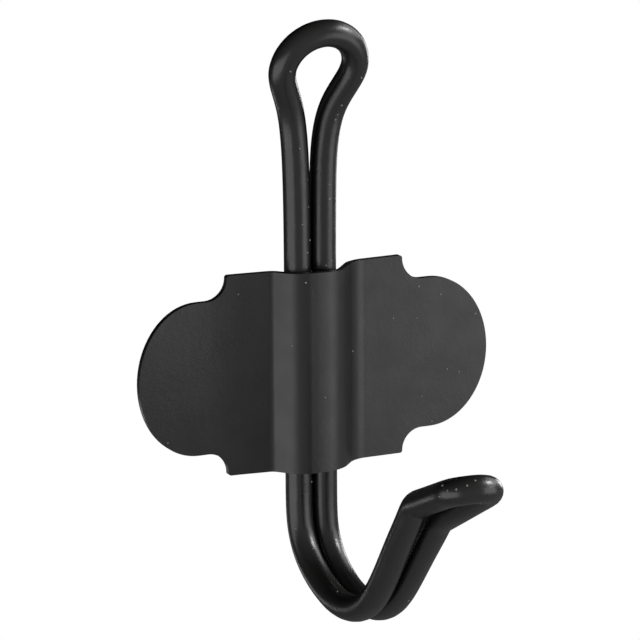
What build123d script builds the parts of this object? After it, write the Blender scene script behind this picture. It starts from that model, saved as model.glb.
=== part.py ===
from build123d import *
import os
from math import asin, atan2, cos, hypot, radians, sin, sqrt, tan

# Wall hook: a round steel rod bent double into an eye, two legs and a hook, under a pressed face
# plate that arches over the legs. X runs along the plate, -Y points away from the wall and Z is up.
# The wall is the plane Y = 0; X = 0 and Z = 0 is midway between the legs at the plate's mid-height.

os.makedirs("parts", exist_ok=True)

# ---- Driving dimensions, mm ------------------------------------------------------------------
# Rod
rod_d = 6.0
leg_gap = 0.16                  # daylight between the two legs
butt_gap = 1.0                  # between the rod's two ends, behind the plate
neck_z = 55.5                   # where the legs part and lean forward into the eye
neck_r = 31.0
eye_lean = 21.5                 # degrees forward of the wall
eye_r = 8.65                    # to the rod's centre line
eye_rise = 13.85                # neck to the eye's centre, along the lean
heel_r = 15.0                   # leg to the hook's floor
toe_r = 24.6                    # floor to rising arm
knee_r = 6.5                    # rising arm to tip
tip_r = 4.5                     # closed end of the tip

# Plate
sheet = 1.5
plate_h = 45.4
plate_x = 1.97                  # the plate's middle lies this far right of the legs' middle
shoulder_x = 21.5               # plate's middle to the step down to each lobe
notch_rx = 4.8
lobe_x = 28.5                   # plate's middle to the lobe's centre
lobe_rx, lobe_rz = 14.3, 17.25
corner_r = 0.6                  # tip of each shoulder
arch_rise = 7.0                 # crown above the wings
foot_left, foot_right = -9.2, 11.6      # where the arch leaves the wings, on the front
wall_left, wall_right = 60.0, 47.0      # slope of its sides, degrees
foot_left_r, foot_right_r = 1.5, 3.0
brow_left_r, brow_right_r = 6.2, 3.5

# ---- hook_rod: one rod, its ends meeting behind the plate ------------------------------------
leg_x = (rod_d + leg_gap) / 2
leg_y = -rod_d / 2

# The eye lies in a plane leaning forward, and each leg runs into its ring along a tangent.
lean = radians(eye_lean)
eye_plane = Plane(origin=(0, leg_y, neck_z), x_dir=(1, 0, 0), z_dir=(0, -cos(lean), -sin(lean)))
reach = hypot(leg_x, eye_rise)
outward = asin(eye_r / reach) - atan2(leg_x, eye_rise)
lead = sqrt(reach**2 - eye_r**2)
ring_x = leg_x + lead * sin(outward)
ring_s = lead * cos(outward)
ring_right = eye_plane.from_local_coords((ring_x, ring_s))
ring_left = eye_plane.from_local_coords((-ring_x, ring_s))
ring_top = eye_plane.from_local_coords((0, eye_rise + eye_r))

# The two sides of the hook are bent a little apart, the right one turning sooner at the knee.
with BuildPart() as hook_rod:
    with BuildLine() as wire:
        FilletPolyline(
            (leg_x, leg_y, butt_gap / 2),
            (leg_x, leg_y, neck_z),
            ring_right,
            radius=neck_r,
        )
        ThreePointArc(ring_right, ring_top, ring_left)
        FilletPolyline(
            ring_left,
            (-leg_x, leg_y, neck_z),
            (-leg_x, leg_y, -40.7),
            (-leg_x, -33.2, -53.9),
            (-3.1, -60.7, -16.15),
            (-4.7, -82.5, -7.25),
            (4.65, -82.55, -7.75),
            (3.55, -59.55, -20.5),
            (leg_x, -30.4, -54.5),
            (leg_x, leg_y, -41.7),
            (leg_x, leg_y, -butt_gap / 2),
            radius=[neck_r, heel_r, toe_r, knee_r, tip_r, tip_r, knee_r, toe_r, heel_r],
        )
    with BuildSketch(Plane(origin=wire.line @ 0, z_dir=wire.line % 0)):
        Circle(rod_d / 2)
    sweep(path=wire.line)

hook_rod.part.label = "hook_rod"
export_step(hook_rod.part, "parts/hook_rod.step")

# ---- face_plate: one sheet pressing, two flat wings and an arch over the legs ----------------
wing_end = plate_x + lobe_x + lobe_rx + 5
crown = -sheet - arch_rise
brow_left = foot_left + arch_rise / tan(radians(wall_left))
brow_right = foot_right - arch_rise / tan(radians(wall_right))

with BuildPart() as face_plate:
    # Cross-section: the front line thickened towards the wall.
    with BuildSketch():
        with BuildLine():
            FilletPolyline(
                (-wing_end, -sheet),
                (foot_left, -sheet),
                (brow_left, crown),
                (brow_right, crown),
                (foot_right, -sheet),
                (wing_end, -sheet),
                radius=[foot_left_r, brow_left_r, brow_right_r, foot_right_r],
            )
            offset(amount=sheet, side=Side.LEFT)
        make_face()
    extrude(amount=plate_h, both=True)

    # Outline: straight top and bottom, a hollow step and a round lobe at each end.
    with BuildSketch(Plane(origin=(plate_x, 0, 0), x_dir=(1, 0, 0), z_dir=(0, -1, 0))) as outline:
        with BuildLine():
            Line((0, plate_h / 2), (shoulder_x, plate_h / 2))
            EllipticalCenterArc(
                (shoulder_x + notch_rx, plate_h / 2),
                notch_rx,
                plate_h / 2 - lobe_rz,
                start_angle=180,
                arc_size=90,
            )
            Line((shoulder_x + notch_rx, lobe_rz), (lobe_x, lobe_rz))
            EllipticalCenterArc((lobe_x, 0), lobe_rx, lobe_rz, start_angle=0, arc_size=90)
            mirror(about=Plane.XZ)
            mirror(about=Plane.YZ)
        make_face()
        fillet(outline.vertices().group_by(Axis.Y)[-1], corner_r)
        fillet(outline.vertices().group_by(Axis.Y)[0], corner_r)
    extrude(amount=20, both=True, mode=Mode.INTERSECT)

face_plate.part.label = "face_plate"
export_step(face_plate.part, "parts/face_plate.step")
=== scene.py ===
import bpy
from math import cos, radians, sin
from mathutils import Matrix, Vector


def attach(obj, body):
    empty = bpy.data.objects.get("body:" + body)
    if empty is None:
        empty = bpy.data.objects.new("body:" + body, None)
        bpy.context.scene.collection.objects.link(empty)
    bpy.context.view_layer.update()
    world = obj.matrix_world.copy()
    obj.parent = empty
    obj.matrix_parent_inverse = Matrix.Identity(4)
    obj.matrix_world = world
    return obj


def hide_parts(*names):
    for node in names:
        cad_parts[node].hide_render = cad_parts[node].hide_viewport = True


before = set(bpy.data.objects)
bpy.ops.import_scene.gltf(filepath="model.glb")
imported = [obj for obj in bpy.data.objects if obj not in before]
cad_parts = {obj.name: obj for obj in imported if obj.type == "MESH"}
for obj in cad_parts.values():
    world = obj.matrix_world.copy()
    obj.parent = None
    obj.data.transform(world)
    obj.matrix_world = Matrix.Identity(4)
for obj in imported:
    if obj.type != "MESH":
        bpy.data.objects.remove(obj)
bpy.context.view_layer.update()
scene = bpy.context.scene
MM = 0.001

# ---- Hook rod --------------------------------------------------------------------------------
# One 6 mm mild steel rod, bent cold round pins into an eye, two legs and a doubled hook. Each bend
# runs in and out gradually, as spring-back leaves it, and the two ends meet behind the plate.
bpy.ops.object.select_all(action="DESELECT")
bpy.ops.curve.primitive_nurbs_path_add()
route = bpy.context.object
route.name = "enamelled_rod"
# Control points of the rod's centre line, mm. They come from a least-squares fit of a smooth line
# to straight runs and arcs.
centre_line = (
    # up the right leg to the neck
    (3.08, -3, 0.5), (3.07, -3, 4.68), (3.1, -3, 13.7), (3.04, -3, 26.19), (3.17, -3.03, 39.41),
    (3.43, -3, 50.64), (4.72, -3.9, 58.35),
    # round the eye, leaning away from the wall
    (6.86, -5.82, 63.04), (8.4, -7.18, 66.16), (8.8, -8.24, 68.79), (8.17, -9.34, 71.42),
    (6.57, -10.36, 73.85), (4.16, -11.09, 75.61), (1.28, -11.45, 76.48), (-1.74, -11.42, 76.4),
    (-4.58, -11, 75.39), (-6.88, -10.22, 73.51), (-8.33, -9.17, 71.02), (-8.81, -8.07, 68.37),
    (-8.23, -7, 65.72), (-6.56, -5.57, 62.49), (-4.43, -3.64, 57.45),
    # down the left leg
    (-3.36, -3, 49.1), (-3.14, -3.05, 37.44), (-3.05, -3, 24.5), (-3.09, -3, 11.54),
    (-3.08, -3, -1.67), (-3.08, -3, -14.45), (-3.08, -3.03, -24.64), (-3.08, -3, -31.53),
    # under and up the left side of the hook
    (-3.08, -3.75, -36.48), (-3.08, -6.22, -40.66), (-3.08, -10.25, -43.97),
    (-3.08, -16.22, -46.74), (-3.08, -23.95, -48.53), (-3.07, -32.58, -47.38),
    (-3.06, -40.35, -43.38), (-3.04, -46.21, -36.37), (-3.03, -51.46, -28.7),
    (-3.02, -55.8, -22.92), (-3.01, -58.38, -19.36), (-2.99, -59.8, -17.28),
    # along the tip, round its end and back
    (-3.04, -61.25, -15.94), (-3.24, -63.81, -14.85), (-3.55, -67.66, -13.33),
    (-3.88, -72.08, -11.51), (-4.19, -75.85, -9.97), (-4.43, -78.41, -8.92),
    (-4.05, -80.13, -8.25), (-2.9, -81.5, -7.76), (-1.18, -82.43, -7.47), (0.82, -82.59, -7.52),
    (2.68, -81.92, -7.99), (4, -80.72, -8.74), (4.54, -79.22, -9.6), (4.44, -77.07, -10.79),
    (4.26, -73.6, -12.71), (4.07, -68.88, -15.32), (3.86, -64.16, -17.95), (3.71, -60.71, -19.8),
    # down the right side of the hook to the wall
    (3.63, -58.72, -21.05), (3.61, -57.33, -22.71), (3.56, -54.98, -25.6), (3.48, -50.77, -30.45),
    (3.37, -45.26, -37.26), (3.25, -39.2, -44.21), (3.16, -31.4, -48.3), (3.1, -22.79, -49.34),
    (3.08, -15.17, -47.63), (3.08, -9.43, -44.77), (3.08, -5.7, -41.23), (3.08, -3.49, -37.08),
    (3.08, -3, -31.86), (3.08, -3.04, -24.07), (3.08, -3, -13.98), (3.08, -3, -5.1),
    (3.08, -3, -0.5),
)
line = route.data.splines[0]
line.points.add(len(centre_line) - len(line.points))
for point, place in zip(line.points, centre_line):
    point.co = (*(Vector(place) * MM), 1)
line.order_u = 4
line.use_endpoint_u = True
line.resolution_u = 8
route.data.dimensions = "3D"
rod_radius = 3.0
route.data.bevel_depth = rod_radius * MM
route.data.bevel_resolution = 10
route.data.use_fill_caps = True
route.location = (0, 0, 0)
bpy.ops.object.convert(target="MESH")
rod = bpy.context.object
bpy.ops.object.mode_set(mode="EDIT")
bpy.ops.mesh.select_all(action="SELECT")
bpy.ops.mesh.remove_doubles(threshold=0.002 * MM)
bpy.ops.mesh.normals_make_consistent(inside=False)
bpy.ops.object.mode_set(mode="OBJECT")
bpy.ops.object.shade_smooth_by_angle(angle=radians(50))


def srgb(code):
    """A hex colour as the linear values that a shader wants."""
    channels = [int(code[i:i + 2], 16) / 255 for i in (0, 2, 4)]
    linear = [c / 12.92 if c <= 0.04045 else ((c + 0.055) / 1.055) ** 2.4 for c in channels]
    return (*linear, 1.0)


def add(tree, kind, settings=None, links=None):
    """Adds a node, sets its fields or sockets, and links its sockets from (node, output)."""
    node = tree.nodes.new(kind)
    for name, value in (settings or {}).items():
        if isinstance(name, str) and hasattr(node, name):
            setattr(node, name, value)
        else:
            node.inputs[name].default_value = value
    for name, (source, output) in (links or {}).items():
        tree.links.new(source.outputs[output], node.inputs[name])
    return node


def stoved_enamel(name, peel_mm, peel_depth, flow_depth, grit_depth, sheen_low, sheen_high):
    """Black satin enamel, sprayed and stoved, with orange peel, grit and an uneven gloss.

    A noise node's Scale is 1000 over the size of its cells in mm. Depths and sheens go from 0 to 1.
    """
    material = bpy.data.materials.new(name)
    material.use_nodes = True
    tree = material.node_tree
    tree.nodes.clear()
    place = add(tree, "ShaderNodeTexCoord")
    # The slow unevenness of a coat that has flowed before it set, about 6 mm across.
    flow = add(tree, "ShaderNodeTexNoise", {"Scale": 1000 / 6.0, "Detail": 1.0},
               {"Vector": (place, "Object")})
    swell = add(tree, "ShaderNodeBump", {"Strength": flow_depth, "Distance": 0.2 * MM},
                {"Height": (flow, "Fac")})
    # Orange peel, about a millimetre across.
    peel = add(tree, "ShaderNodeTexNoise", {"Scale": 1000 / peel_mm, "Detail": 2.0},
               {"Vector": (place, "Object")})
    skin = add(tree, "ShaderNodeBump", {"Strength": peel_depth, "Distance": 0.1 * MM},
               {"Height": (peel, "Fac"), "Normal": (swell, "Normal")})
    # Gritty patches where overspray dried before it landed: grit of 0.1 mm, drawn as 0.4 mm.
    where = add(tree, "ShaderNodeTexNoise", {"Scale": 1000 / 9.0, "Detail": 2.0},
                {"Vector": (place, "Object")})
    patch = add(tree, "ShaderNodeMapRange",
                {"From Min": 0.5, "From Max": 0.66, "To Min": 0.0, "To Max": 1.0},
                {"Value": (where, "Fac")})
    grit = add(tree, "ShaderNodeTexNoise", {"Scale": 1000 / 0.4, "Detail": 1.0},
               {"Vector": (place, "Object")})
    dusting = add(tree, "ShaderNodeMath", {"operation": "MULTIPLY"},
                  {0: (grit, "Fac"), 1: (patch, "Result")})
    grain = add(tree, "ShaderNodeBump", {"Strength": grit_depth, "Distance": 0.1 * MM},
                {"Height": (dusting, "Value"), "Normal": (skin, "Normal")})
    # The gloss drifts with the film's thickness.
    gloss = add(tree, "ShaderNodeMapRange",
                {"From Min": 0.3, "From Max": 0.7, "To Min": sheen_low, "To Max": sheen_high},
                {"Value": (flow, "Fac")})
    coat = add(tree, "ShaderNodeBsdfPrincipled", {"Base Color": srgb("0B0C0A"), "IOR": 1.5},
               {"Roughness": (gloss, "Result"), "Normal": (grain, "Normal")})
    add(tree, "ShaderNodeOutputMaterial", None, {"Surface": (coat, "BSDF")})
    return material


# Pale grit and lint that settled on the wet coat: matt, light grey, far lighter than the enamel.
# The pale colour also paints in the glints these grains catch: a painted highlight.
pale_grit_and_painted_glint = bpy.data.materials.new("stoved_in_dust_and_painted_glint")
pale_grit_and_painted_glint.use_nodes = True
tree = pale_grit_and_painted_glint.node_tree
tree.nodes.clear()
place = add(tree, "ShaderNodeTexCoord")
fleck = add(tree, "ShaderNodeTexNoise", {"Scale": 1000 / 0.3}, {"Vector": (place, "Object")})
tone = add(tree, "ShaderNodeMix", {"data_type": "RGBA", 6: srgb("3A3B38"), 7: srgb("A2A39D")},
           {0: (fleck, "Fac")})
dust_and_glint_bsdf = add(tree, "ShaderNodeBsdfPrincipled", {"Roughness": 0.6}, {"Base Color": (tone, 2)})
add(tree, "ShaderNodeOutputMaterial", None, {"Surface": (dust_and_glint_bsdf, "BSDF")})


def dust_nibs_and_painted_glints(piece, spots):
    """Adds grains of dust stoved into the coat, pale grey so that they also carry painted glints:
    half-sunk balls, (x, y, z, radius) in mm.
    """
    bpy.ops.object.select_all(action="DESELECT")
    grains = []
    for x, y, z, radius in spots:
        bpy.ops.mesh.primitive_ico_sphere_add(subdivisions=2, radius=radius * MM,
                                              location=(x * MM, y * MM, z * MM))
        bpy.ops.object.shade_smooth()
        bpy.context.object.data.materials.append(pale_grit_and_painted_glint)
        grains.append(bpy.context.object)
    for grain in (*grains, piece):
        grain.select_set(True)
    bpy.context.view_layer.objects.active = piece
    bpy.ops.object.join()


rod.data.materials.append(stoved_enamel(
    "stoved_enamel_rod", peel_mm=0.9, peel_depth=0.3, flow_depth=0.3, grit_depth=0.5,
    sheen_low=0.26, sheen_high=0.34,
))
# Grains on the rod. Their pale colour is partly painted highlight, standing in for the glints on
# them.
dust_nibs_and_painted_glints(rod, (
    # The first grain, between the legs just above the plate, is no dust but a painted highlight: a
    # pale dot for a bright spot there.
    (0.1, -3.5, 22.1, 0.25), (-1.9, -5.7, 27.0, 0.22), (-1.1, -5.3, 29.6, 0.18),
    (-2.2, -5.9, 23.7, 0.16), (-1.0, -5.2, -25.5, 0.2), (-5.0, -5.3, -23.5, 0.18),
    (2.5, -5.9, 23.7, 0.18), (1.0, -5.2, 23.9, 0.15), (3.4, -6.0, 38.6, 0.2),
    (3.4, -6.0, 41.8, 0.16), (3.9, -5.9, 24.7, 0.15), (4.6, -6.8, 56.3, 0.18),
    (5.0, -7.0, 57.4, 0.15), (5.7, -7.6, 59.5, 0.2), (9.3, -10.1, 65.7, 0.2),
    (-3.8, -6.2, 50.5, 0.18), (-3.2, -6.0, 33.5, 0.16), (-1.7, -5.5, 43.3, 0.15),
    (-1.4, -5.4, 37.1, 0.15), (-8.3, -11.4, 68.7, 0.2), (-8.6, -5.9, 59.9, 0.15),
    (-6.4, -79.8, -6.6, 0.25), (-6.2, -81.7, -7.2, 0.2), (-5.0, -83.2, -6.7, 0.22),
    (-3.0, -84.2, -5.9, 0.22), (-1.1, -84.1, -5.1, 0.22), (-7.1, -79.8, -8.8, 0.18),
    (0.3, -83.7, -10.2, 0.18), (-5.3, -5.9, -35.6, 0.15), (-6.0, -55.0, -23.9, 0.16),
    (3.5, -44.4, -42.7, 0.18), (-4.0, -24.6, -45.2, 0.15),
))
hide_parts("hook_rod")
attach(rod, "root")

# ---- Face plate ------------------------------------------------------------------------------
# A 1.5 mm steel sheet, blanked to two round lobes with hollow steps, then pressed into an arch
# that clears the legs. The blanked edges are tumbled round before the coating.
sheet, crown = 1.5, 8.5
# The left wing is sprung. It touches the wall between x = -30 and -20, stands 1.35 mm off it at the
# arch's foot, and about 0.7 mm at its end.
folds = (
    # section corner (x, distance from the wall), tangent length of the fold, its steps
    ((-30, 1.5), 5.0, 8),
    ((-20, 1.5), 4.0, 8),
    ((-9.2, 2.85), 0.8, 10),
    ((-4.95, 8.15), 2.9, 16),
    ((0.2, crown), 1.2, 8),
    ((5.2, 8.25), 3.4, 20),
    ((11.45, 1.5), 2.6, 16),
)
# The strip before blanking: each end as (x, distance from the wall), and half its height.
strip_left, strip_right, strip_half = (-46, 2.5), (50, 1.5), 26
bpy.ops.object.select_all(action="DESELECT")
bpy.ops.mesh.primitive_plane_add(size=1)
plate = bpy.context.object
plate.name = "pressed_plate"
bpy.ops.object.mode_set(mode="EDIT")
bpy.ops.mesh.select_all(action="SELECT")
bpy.ops.mesh.merge(type="CENTER")
x, out = strip_left
bpy.ops.transform.translate(value=(x * MM, -out * MM, -strip_half * MM))
start = Vector((x, -out))
for x, out in (*(corner for corner, _, _ in folds), strip_right):
    step = Vector((x, -out)) - start
    shift = (step.x * MM, step.y * MM, 0)
    bpy.ops.mesh.extrude_region_move(TRANSFORM_OT_translate={"value": shift})
    start = Vector((x, -out))
bpy.ops.object.mode_set(mode="OBJECT")
for (x, out), reach, steps in folds:
    for vertex in plate.data.vertices:
        vertex.select = (vertex.co.xy - Vector((x, -out)) * MM).length < 0.01 * MM
    for edge in plate.data.edges:
        edge.select = False
    bpy.ops.object.mode_set(mode="EDIT")
    bpy.ops.mesh.select_mode(type="VERT")
    bpy.ops.mesh.bevel(affect="VERTICES", offset_type="OFFSET", offset=reach * MM, segments=steps)
    bpy.ops.object.mode_set(mode="OBJECT")
bpy.ops.object.mode_set(mode="EDIT")
bpy.ops.mesh.select_all(action="SELECT")
bpy.ops.mesh.extrude_region_move(TRANSFORM_OT_translate={"value": (0, 0, 2 * strip_half * MM)})
bpy.ops.mesh.select_all(action="SELECT")
bpy.ops.mesh.normals_make_consistent(inside=False)
bpy.ops.object.mode_set(mode="OBJECT")
if plate.data.polygons[0].normal.y > 0:
    plate.data.flip_normals()
gauge = plate.modifiers.new("gauge", "SOLIDIFY")
gauge.thickness = sheet * MM
gauge.offset = -1
gauge.use_even_offset = True
bpy.ops.object.modifier_apply(modifier=gauge.name)

# The blanking outline, drawn as a closed curve: straight edges, hollow steps, round lobes.
middle, half, shoulder, step_x = 1.97, 22.7, 21.5, 26.3
lobe_z, lobe_x, end = 17.25, 28.5, 42.8
corner_r, top_handle, step_handle = 0.6, 4, 0.7
# A handle this long per unit of radius draws a quarter circle.
round_handle = 0.5523
top_of_step = half - corner_r
quarter = (
    # place, handle before, handle after
    ((shoulder - corner_r, half), (-top_handle, 0), (corner_r * round_handle, 0)),
    (
        (shoulder, top_of_step),
        (0, corner_r * round_handle),
        (0, -(top_of_step - lobe_z) * round_handle),
    ),
    ((step_x, lobe_z), (-(step_x - shoulder) * round_handle, 0), (step_handle, 0)),
    ((lobe_x, lobe_z), (-step_handle, 0), ((end - lobe_x) * round_handle, 0)),
    ((end, 0), (0, lobe_z * round_handle), (0, -lobe_z * round_handle)),
)
loop = list(quarter)
loop += [((x, -z), (ax, -az), (bx, -bz)) for (x, z), (bx, bz), (ax, az) in quarter[-2::-1]]
left = [((-x, z), (-bx, bz), (-ax, az)) for (x, z), (ax, az), (bx, bz) in reversed(loop)]
loop += left
# The top edge rises towards the right shoulder.
shoulder_rise = 0.3
for i in (0, 1):
    (x, z), before, after = loop[i]
    loop[i] = ((x, z + shoulder_rise), before, after)
bpy.ops.object.select_all(action="DESELECT")
bpy.ops.curve.primitive_bezier_circle_add()
blank = bpy.context.object
rim = blank.data.splines[0]
rim.bezier_points.add(len(loop) - len(rim.bezier_points))
for knot, ((x, z), (ax, az), (bx, bz)) in zip(rim.bezier_points, loop):
    knot.handle_left_type = knot.handle_right_type = "FREE"
    knot.co = Vector((x + middle, z, 0)) * MM
    knot.handle_left = Vector((x + middle + ax, z + az, 0)) * MM
    knot.handle_right = Vector((x + middle + bx, z + bz, 0)) * MM
rim.resolution_u = 20
blank.data.dimensions = "2D"
blank.data.fill_mode = "BOTH"
blank.data.extrude = 20 * MM
blank.rotation_euler = (radians(90), 0, 0)
bpy.ops.object.convert(target="MESH")
blank = bpy.context.object
bpy.ops.object.transform_apply(location=True, rotation=True, scale=True)
bpy.ops.object.mode_set(mode="EDIT")
bpy.ops.mesh.select_all(action="SELECT")
bpy.ops.mesh.remove_doubles(threshold=0.005 * MM)
bpy.ops.mesh.normals_make_consistent(inside=False)
bpy.ops.object.mode_set(mode="OBJECT")
bpy.ops.object.select_all(action="DESELECT")
plate.select_set(True)
bpy.context.view_layer.objects.active = plate
cut = plate.modifiers.new("cut", "BOOLEAN")
cut.operation = "INTERSECT"
cut.solver = "EXACT"
cut.object = blank
bpy.ops.object.modifier_apply(modifier=cut.name)
bpy.data.objects.remove(blank)
bpy.ops.object.mode_set(mode="EDIT")
bpy.ops.mesh.select_all(action="SELECT")
bpy.ops.mesh.remove_doubles(threshold=0.005 * MM)
bpy.ops.mesh.dissolve_limited(angle_limit=radians(0.2))
bpy.ops.object.mode_set(mode="OBJECT")
# The press draws the top edge down a little at the arch's right brow.
draw, brow_x, draw_reach, draw_above = 0.3, 5, 5, 22
for vertex in plate.data.vertices:
    pull = 1 - abs(vertex.co.x / MM - brow_x) / draw_reach
    if vertex.co.z > draw_above * MM and pull > 0:
        vertex.co.z -= draw * MM * pull
edges = plate.modifiers.new("edges", "BEVEL")
edges.width = 0.5 * MM
edges.segments = 4
edges.limit_method = "ANGLE"
edges.angle_limit = radians(50)
bpy.ops.object.modifier_apply(modifier=edges.name)
bpy.ops.object.shade_smooth()
even = plate.modifiers.new("even", "WEIGHTED_NORMAL")
even.keep_sharp = True
bpy.ops.object.modifier_apply(modifier=even.name)
plate.data.materials.clear()
plate.data.materials.append(stoved_enamel(
    "stoved_enamel_plate", peel_mm=1.1, peel_depth=0.25, flow_depth=0.1, grit_depth=0.25,
    sheen_low=0.34, sheen_high=0.4,
))
# Grains on the plate. Their pale colour is partly painted highlight, standing in for the glints on
# them.
dust_nibs_and_painted_glints(plate, (
    (10.5, -2.7, 2.6, 0.2), (10.9, -2.3, -18.0, 0.15), (-3.5, -8.2, 20.9, 0.22),
    (33.1, -1.5, 13.0, 0.2), (27.6, -1.5, 15.4, 0.2), (30.9, -1.5, -16.3, 0.15),
    (42.0, -1.4, 7.6, 0.2), (21.2, -1.5, 8.8, 0.16), (27.2, -1.5, 8.2, 0.16),
    (34.8, -1.5, -4.5, 0.18), (37.8, -1.5, -5.5, 0.18), (28.4, -1.5, -10.1, 0.15),
    (0.9, -8.5, -5.6, 0.16), (-6.2, -6.6, 6.6, 0.16), (-16.9, -1.9, 18.4, 0.15),
    (-34.2, -1.76, -13.3, 0.16),
))

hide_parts("face_plate")
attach(plate, "root")

# ---- Studio ----------------------------------------------------------------------------------
# A pale paper floor, a dim even room and six plain soft boxes: a large one, a small bright one and
# a low one at the right, one at the left, a low one in front, which the flat wings reflect, and a
# faint one behind on the left.
bpy.ops.object.select_all(action="DESELECT")
bpy.ops.mesh.primitive_plane_add(size=6, location=(0, 0, -0.28))
floor = bpy.context.object
floor.name = "floor"
floor.visible_glossy = False
# Matt white paper, seen as plain white with no shading, so the dark hook stands out against it.
paper = bpy.data.materials.new("white_paper")
paper.use_nodes = True
tree = paper.node_tree
tree.nodes.clear()
matt = add(tree, "ShaderNodeBsdfDiffuse", {"Color": srgb("E6E6E6")})
glow = add(tree, "ShaderNodeEmission", {"Color": srgb("FFFFFF"), "Strength": 1.0})
seen = add(tree, "ShaderNodeLightPath")
mix = add(tree, "ShaderNodeMixShader", None,
          {0: (seen, "Is Camera Ray"), 1: (matt, "BSDF"), 2: (glow, "Emission")})
add(tree, "ShaderNodeOutputMaterial", None, {"Surface": (mix, "Shader")})
floor.data.materials.append(paper)

world = bpy.data.worlds.new("studio")
scene.world = world
world.use_nodes = True
tree = world.node_tree
tree.nodes.clear()
facing = add(tree, "ShaderNodeTexCoord")
depth = add(tree, "ShaderNodeVectorMath", {"operation": "DOT_PRODUCT", 1: (0, 1, 0.3)},
            {0: (facing, "Generated")})
fade = add(tree, "ShaderNodeMapRange",
           {"From Min": -1.0, "From Max": 1.0, "To Min": 0.6, "To Max": 0.0},
           {"Value": (depth, "Value")})
room = add(tree, "ShaderNodeBackground", {"Color": srgb("FFFFFF")},
           {"Strength": (fade, "Result")})
sky = add(tree, "ShaderNodeBackground", {"Color": srgb("FFFFFF"), "Strength": 1.0})
seen = add(tree, "ShaderNodeLightPath")
mix = add(tree, "ShaderNodeMixShader", None,
          {0: (seen, "Is Camera Ray"), 1: (room, "Background"), 2: (sky, "Background")})
add(tree, "ShaderNodeOutputWorld", None, {"Surface": (mix, "Shader")})


def soft_box(name, azimuth, elevation, distance, width, height, power):
    """A rectangular lamp turned to face the hook; azimuth 0 is straight in front."""
    lamp = bpy.data.lights.new(name, "AREA")
    lamp.shape = "RECTANGLE"
    lamp.size = width
    lamp.size_y = height
    lamp.energy = power
    holder = bpy.data.objects.new(name, lamp)
    a, e = radians(azimuth), radians(elevation)
    place = Vector((sin(a) * cos(e), -cos(a) * cos(e), sin(e))) * distance
    holder.location = place
    holder.rotation_euler = (-place).to_track_quat("-Z", "Y").to_euler()
    holder.visible_camera = False
    scene.collection.objects.link(holder)


for box in (
    # name, azimuth and elevation in degrees, distance, width and height in metres, watts
    ("soft_box_right", 82, 28, 0.9, 1.2, 0.6, 4.5),
    ("soft_box_key", 72, 36, 0.88, 0.24, 0.2, 3.2),
    ("soft_box_rim", 122, -1, 0.88, 0.26, 0.24, 1.1),
    ("soft_box_left", -80, -15, 0.45, 0.62, 0.32, 1.1),
    ("soft_box_front", 43, -3, 0.4, 0.28, 0.26, 0.39),
    ("soft_box_kicker", -163, -25, 0.5, 0.1, 0.08, 0.04),
):
    soft_box(*box)

# ---- Camera ----------------------------------------------------------------------------------
# A long lens at the left of the hook, looking slightly down.
azimuth, elevation, roll = radians(-25.29), radians(13.57), radians(-0.33)
back = Vector((sin(azimuth) * cos(elevation), -cos(azimuth) * cos(elevation), sin(elevation)))
level = Vector((cos(azimuth), sin(azimuth), 0))
rise = back.cross(level)
right = level * cos(roll) + rise * sin(roll)
up = rise * cos(roll) - level * sin(roll)
lens = bpy.data.cameras.new("camera")
lens.sensor_width = 36
lens.lens = 222.4
camera = bpy.data.objects.new("camera", lens)
distance, aside, above = 0.880, 0.003366, 0.010061
place = back * distance + right * aside + up * above
camera.matrix_world = Matrix.Translation(place) @ Matrix((right, up, back)).transposed().to_4x4()
scene.collection.objects.link(camera)
scene.camera = camera

scene.view_settings.view_transform = "Standard"
